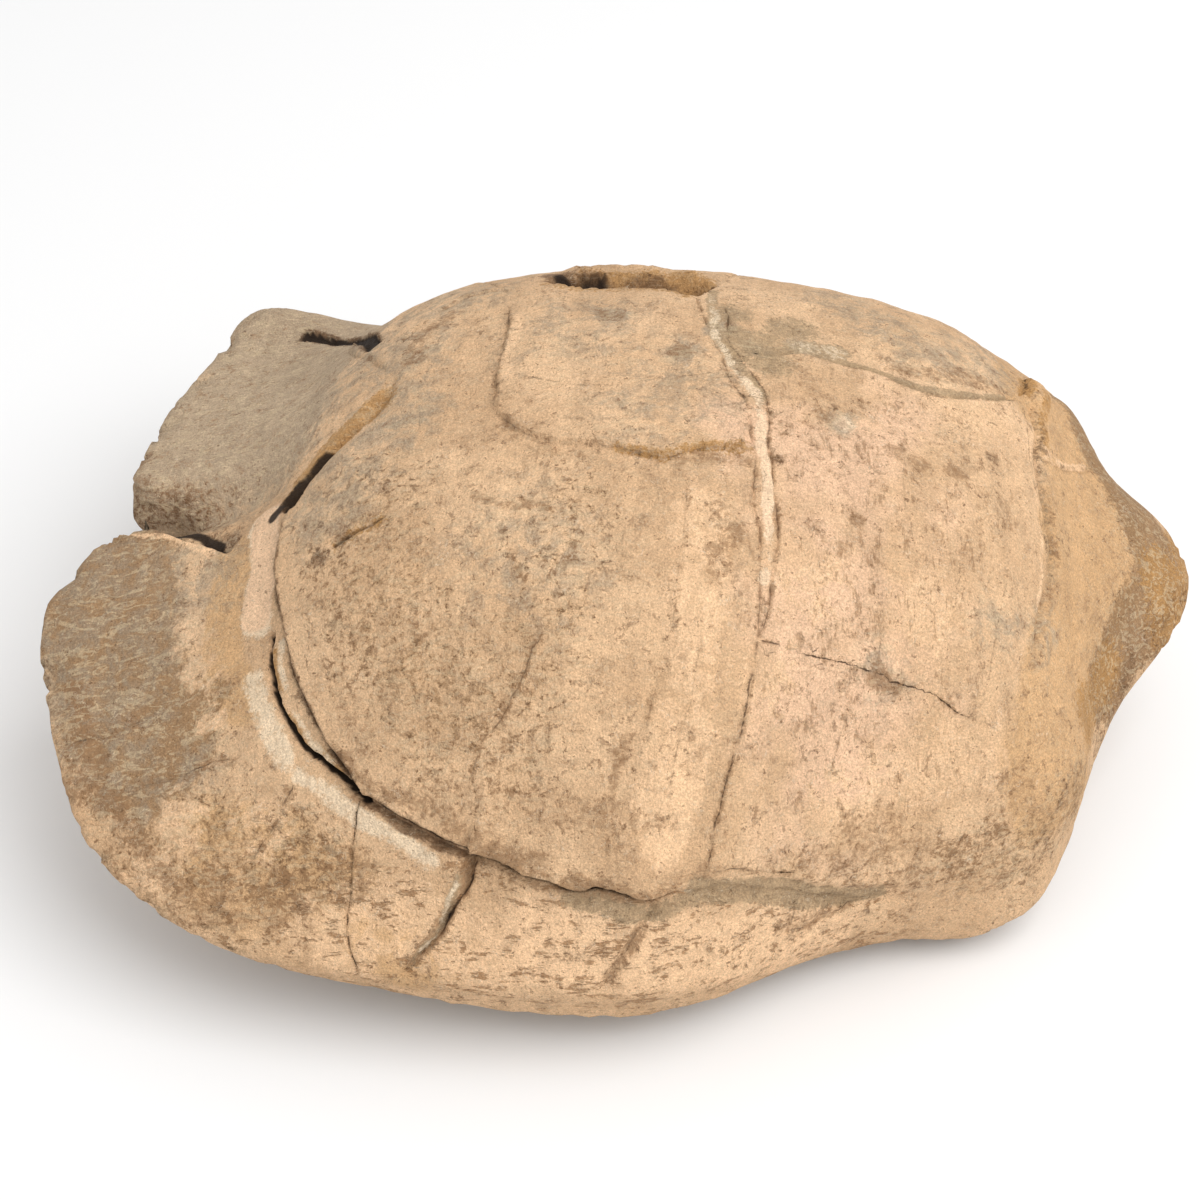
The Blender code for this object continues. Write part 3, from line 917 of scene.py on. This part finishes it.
def fossil_bone_material(look):
    """Fossil bone worn by sand: dull, buff, grainy, mottled brown and grey, with cement and black painted
    shade in cracks.
    """
    material = bpy.data.materials.new("sandblasted fossil bone with stone and cement")
    material.use_nodes = True
    tree = material.node_tree
    shader = tree.nodes["Principled BSDF"]
    place = add(tree, "TexCoord").outputs["Object"]
    paint = {name: add(tree, "Attribute", attribute_name=name).outputs["Fac"] for name in PAINTS}

    def cloud(size_mm, detail=3.0, rough=0.6, seed=0.0, stretch=(1, 1, 1), turn=0.0, warp=0.0):
        """Drifts from 0 to 1 whose clouds are size_mm across and drawn out by stretch."""
        scale = tuple(1 / (size_mm * MM * length) for length in stretch)
        shift = (seed, seed, seed)
        moves = {"Vector": place, "Location": shift, "Rotation": (0, 0, turn), "Scale": scale}
        moved = add(tree, "Mapping", moves).outputs[0]
        drifts = {"Vector": moved, "Scale": 1.0, "Detail": detail, "Roughness": rough, "Distortion": warp}
        made = add(tree, "TexNoise", drifts).outputs[0]
        return add(tree, "MapRange", {0: made, 1: 0.3, 2: 0.7}, interpolation_type="SMOOTHSTEP").outputs[0]

    def where(*patterns, most=1.0):
        """A mask that is most where each (pattern, low, high) is past its high, and 0 under any low."""
        mask = most
        for pattern, low, high in patterns:
            part = add(tree, "MapRange", {0: pattern, 1: low, 2: high}, interpolation_type="SMOOTHSTEP")
            mask = add(tree, "Math", {0: part.outputs[0], 1: mask}, operation="MULTIPLY").outputs[0]
        return mask

    def patches(name, edge, raggedness, most=1.0):
        """A mask of a paint whose edges are broken up by a cloud, from 0, soft, to 1, ragged."""
        soft = 0.5 - raggedness / 2
        lowered = add(tree, "Math", {0: paint[name], 1: raggedness / 2}, operation="SUBTRACT").outputs[0]
        uneven = add(tree, "Math", {0: edge, 1: raggedness, 2: lowered}, operation="MULTIPLY_ADD").outputs[0]
        return where((uneven, 0.5 - soft, 0.5 + soft), most=most)

    def coated(below, coats):
        """A colour with others laid over it in turn, each where its mask is 1."""
        for colour, mask in coats:
            below = add(tree, "Mix", {0: mask, 6: below, 7: linear(colour)}, data_type="RGBA").outputs[2]
        return below

    # Sand grains of 0.5 mm, which is as fine as shows, specks of 1.3 mm, freckles of 2.6 mm, blotches of 6 mm
    # and drifts of 30 mm.
    grain = cloud(0.5, 2.0, 0.8)
    speck = cloud(1.3, 2.0, 0.8, 3.0)
    blotch = cloud(6.0, 3.0, 0.75, 5.0, warp=0.5)
    drift = cloud(30.0, 3.0, 0.6, 9.0)
    freckle = cloud(2.6, 3.0, 0.8, 14.0, warp=0.6)
    # Growth lines run down the sides, so their marks are drawn out that way, and the rim's along it.
    rows = cloud(1.5, 3.0, 0.8, 12.0, stretch=(1, 4, 4), turn=math.radians(11))
    stripes = cloud(5.0, 2.0, 0.6, 16.0, stretch=(1, 9, 9), turn=math.radians(11))
    bands = cloud(1.7, 3.0, 0.8, 20.0, stretch=(5, 1, 1.2))
    wisps = cloud(1.6, 3.0, 0.6, 25.0, stretch=(4, 1.3, 1.3), turn=math.radians(-35), warp=1.5)
    veins = cloud(4.0, 2.0, 0.5, 37.0, warp=1.6)
    fine_edge = add(tree, "Math", {0: freckle, 1: 0.6}, operation="MULTIPLY").outputs[0]
    broken = add(tree, "Math", {0: speck, 1: 0.4, 2: fine_edge}, operation="MULTIPLY_ADD").outputs[0]

    everywhere = add(tree, "Math", {0: paint["rows"], 1: 0.5, 2: 0.12}, operation="MULTIPLY_ADD").outputs[0]
    row_marks = where((rows, 0.6, 0.84), (blotch, 0.3, 0.75), most=everywhere)
    band_marks = where((bands, 0.58, 0.8), (blotch, 0.25, 0.7), (paint["bands"], 0.0, 1.0))
    grainy_stain = where((patches("stain", broken, 0.85), 0.0, 1.0), (grain, 0.3, 0.7), most=0.5)
    # Pale wisps lie most of all on the grey and tan lobes, and thin pale veins everywhere.
    lobes = add(tree, "Math", {0: paint["grey"], 1: paint["tan"]}, operation="MAXIMUM").outputs[0]
    wispy = add(tree, "Math", {0: lobes, 1: 0.35, 2: 0.12}, operation="MULTIPLY_ADD").outputs[0]
    off_vein = add(tree, "Math", {0: veins, 1: 0.5}, operation="SUBTRACT").outputs[0]
    vein_gap = add(tree, "Math", {0: off_vein}, operation="ABSOLUTE").outputs[0]
    vein = where((vein_gap, 0.04, 0.0), (blotch, 0.35, 0.65), most=0.45)

    colour = coated(linear(look.bone), (
        (look.bone_light, drift),
        ("#E9BF9F", patches("pink", drift, 0.5, 0.6)),
        ("#CDA374", patches("ochre", drift, 0.6, 0.75)),
        ("#8C6C4A", patches("tan", broken, 0.6, 0.8)),
        ("#A49580", patches("grey", blotch, 0.45, 0.7)),
        ("#F7CDA2", patches("pale", blotch, 0.6, 0.8)),
        # Faint smudges everywhere, and brown marks in rows on the side plates and in bands along the rim.
        ("#A98360", where((blotch, 0.55, 0.95), (broken, 0.3, 0.75), most=0.5)),
        ("#94704E", row_marks),
        ("#9B724B", where((band_marks, 0.0, 1.0), most=0.75)),
        ("#7F5F43", where((freckle, 0.78, 0.95), (drift, 0.3, 0.7), most=0.5)),
        ("#A07A55", patches("stain", broken, 0.5, 0.6)),
        ("#7A5B40", grainy_stain),
        ("#B0844F", patches("rust", speck, 0.6, 0.8)),
        ("#A58C6C", patches("matrix", broken, 0.6, 0.8)),
        # Cement is cream, and pink where it is painted pink as well.
        ("#F0D8B8", patches("cement", broken, 0.55, 0.85)),
        ("#F0C8A2", where((paint["cement"], 0.3, 0.7), (paint["pink"], 0.3, 0.7), most=0.95)),
        # Painted shade in hollows and under edges, with some dark stain, in the darkest brown.
        ("#6E5036", patches("shade_and_dark_stain", broken, 0.5, 0.85)),
        ("#D2BB98", where((wisps, 0.55, 0.85), most=wispy)),
        ("#E6D3B8", vein),
    ))
    # Sand grain darkens and lightens all of it.
    shades = ((grain, 0.78, 1.16), (speck, 0.92, 1.06), (blotch, 1.05, 0.92), (stripes, 0.94, 1.05))
    shade = 1.0
    for pattern, darkest, lightest in shades:
        part = add(tree, "MapRange", {0: pattern, 3: darkest, 4: lightest}).outputs[0]
        shade = add(tree, "Math", {0: part, 1: shade}, operation="MULTIPLY").outputs[0]
    colour = add(tree, "VectorMath", {0: colour, "Scale": shade}, operation="SCALE").outputs[0]
    # Hairlines are about 0.5 mm wide, and swell and thin along their way.
    beside = add(tree, "Attribute", attribute_name="beside_hair").outputs["Fac"]
    hair_gap = add(tree, "Math", {0: beside}, operation="ABSOLUTE").outputs[0]
    ragged_gap = add(tree, "Math", {0: speck, 1: 0.35, 2: hair_gap}, operation="MULTIPLY_ADD").outputs[0]
    hairline = where((ragged_gap, 0.45, 0.15), (paint["hair"], 0.0, 1.0))
    # Dark pits here and there, hairlines, and painted shade: the black inside the cracks, gaps and hollows.
    colour = coated(colour, (
        ("#5A3F2A", where((speck, 0.82, 0.97), (freckle, 0.45, 0.8), most=0.6)),
        ("#432E1E", hairline),
        ("#20150D", where((paint["crack_shade"], 0.2, 0.8), most=0.95)),
    ))

    # How far each pattern stands out, in millimetres.
    rises = (
        (grain, 0.12), (speck, -0.14), (freckle, 0.16), (rows, -0.12), (blotch, 0.25), (band_marks, -0.25),
        (wisps, 0.05), (vein, -0.05), (hairline, -0.3),
    )
    height = 0.0
    for cover, rise in rises:
        height = add(tree, "Math", {0: cover, 1: rise, 2: height}, operation="MULTIPLY_ADD").outputs[0]
    bump = add(tree, "Bump", {"Height": height, "Strength": 1.0, "Distance": MM}).outputs[0]
    dullness = add(tree, "MapRange", {0: speck, 3: 0.78, 4: 0.95}).outputs[0]
    for socket, value in (("Base Color", colour), ("Normal", bump), ("Roughness", dullness)):
        tree.links.new(value, shader.inputs[socket])
    shader.inputs["Metallic"].default_value = 0.0
    shader.inputs["IOR"].default_value = 1.5
    shader.inputs["Specular IOR Level"].default_value = 0.25
    return material


def plain_paper_material(look):
    """Matt white paper backdrop."""
    material = bpy.data.materials.new("matt white paper")
    material.use_nodes = True
    shader = material.node_tree.nodes["Principled BSDF"]
    shader.inputs["Base Color"].default_value = linear(look.paper)
    shader.inputs["Roughness"].default_value = 0.95
    shader.inputs["Specular IOR Level"].default_value = 0.1
    return material


# ----------------------------------------------------------------------------
# The add-on


class FossilShellLook(bpy.types.PropertyGroup):
    """What a user would change on the shell."""

    bone: bpy.props.StringProperty(
        name="Bone", description="Bone in its darker drifts, as sRGB hex", default="#CFA982"
    )
    bone_light: bpy.props.StringProperty(
        name="Light bone", description="Bone in its lighter drifts, as sRGB hex", default="#E2BC94"
    )


class StudioLook(bpy.types.PropertyGroup):
    """What a user would change in the studio."""

    paper: bpy.props.StringProperty(
        name="Paper", description="Colour of the floor, as sRGB hex", default="#F0F0F0"
    )
    floor_size: bpy.props.FloatProperty(
        name="Floor size", description="Side of the square floor", default=6.0, unit="LENGTH"
    )
    sky: bpy.props.FloatProperty(
        name="Sky", description="Strength of the even light all round", default=0.84, min=0
    )
    key: bpy.props.FloatProperty(
        name="Key light", description="Power of the soft key light", default=11.0, min=0, subtype="POWER",
        unit="POWER",
    )


class SHELL_OT_weathered(bpy.types.Operator):
    """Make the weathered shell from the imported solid"""

    bl_idname = "fossil.weathered_shell"
    bl_label = "Weathered Shell"

    def execute(self, context):
        shell = copied_solid(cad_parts[NODE])
        sculpt(shell)
        shell.data.materials.append(fossil_bone_material(context.scene.fossil_shell_look))
        shell.data.shade_smooth()
        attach(shell, "root")
        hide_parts(NODE)
        return {"FINISHED"}


class SHELL_OT_studio(bpy.types.Operator):
    """Make the floor, the lights and the camera"""

    bl_idname = "fossil.studio"
    bl_label = "Studio"

    def execute(self, context):
        look = context.scene.studio_look
        bpy.ops.object.select_all(action="DESELECT")
        bpy.ops.mesh.primitive_plane_add(size=look.floor_size, location=(0, 0, CAD_BOX[0][2] - FLOOR_GAP))
        floor = context.object
        floor.name = "paper_floor"
        floor.data.materials.append(plain_paper_material(look))
        add_soft_light(context, "key_light", KEY_LIGHT_PLACE, KEY_LIGHT_SIZE, look.key)
        add_even_light(context, look.sky)
        add_camera(context)
        return {"FINISHED"}


def add_soft_light(context, name, place, size, power):
    """A square area light that faces the shell."""
    bpy.ops.object.light_add(type="AREA", location=place)
    light = context.object
    light.name = name
    light.data.size = size
    light.data.energy = power
    light.rotation_euler = (-Vector(place)).to_track_quat("-Z", "Y").to_euler()


def add_even_light(context, strength):
    """White light from all round."""
    world = bpy.data.worlds.new("white_room")
    world.use_nodes = True
    world.node_tree.nodes["Background"].inputs["Color"].default_value = (1, 1, 1, 1)
    world.node_tree.nodes["Background"].inputs["Strength"].default_value = strength
    context.scene.world = world


def add_camera(context):
    """A long lens that looks down on the shell from the near side."""
    back = Vector((0, -math.cos(CAMERA_CLIMB), math.sin(CAMERA_CLIMB)))
    place = CAMERA_TARGET + CAMERA_DISTANCE * back
    bpy.ops.object.camera_add(location=place, rotation=back.to_track_quat("Z", "Y").to_euler())
    camera = context.object
    camera.name = "studio_camera"
    camera.data.sensor_width = CAMERA_SENSOR
    camera.data.lens = CAMERA_LENS
    camera.data.clip_start = 0.01
    context.scene.camera = camera
    context.scene.view_settings.view_transform = "Standard"


class SHELL_PT_panel(bpy.types.Panel):
    """Lists what the shell and its studio are made from"""

    bl_label = "Fossil Shell"
    bl_idname = "SHELL_PT_panel"
    bl_space_type = "VIEW_3D"
    bl_region_type = "UI"
    bl_category = "Fossil Shell"

    def draw(self, context):
        for look, operator in (("fossil_shell_look", SHELL_OT_weathered), ("studio_look", SHELL_OT_studio)):
            box = self.layout.box()
            group = getattr(context.scene, look)
            for name in group.__annotations__:
                box.prop(group, name)
            box.operator(operator.bl_idname)


CLASSES = (FossilShellLook, StudioLook, SHELL_OT_weathered, SHELL_OT_studio, SHELL_PT_panel)


def register():
    for each in CLASSES:
        bpy.utils.register_class(each)
    bpy.types.Scene.fossil_shell_look = bpy.props.PointerProperty(type=FossilShellLook)
    bpy.types.Scene.studio_look = bpy.props.PointerProperty(type=StudioLook)


def unregister():
    del bpy.types.Scene.studio_look
    del bpy.types.Scene.fossil_shell_look
    for each in reversed(CLASSES):
        bpy.utils.unregister_class(each)


def main():
    register()
    bpy.ops.fossil.weathered_shell()
    bpy.ops.fossil.studio()


if __name__ == "__main__":
    main()
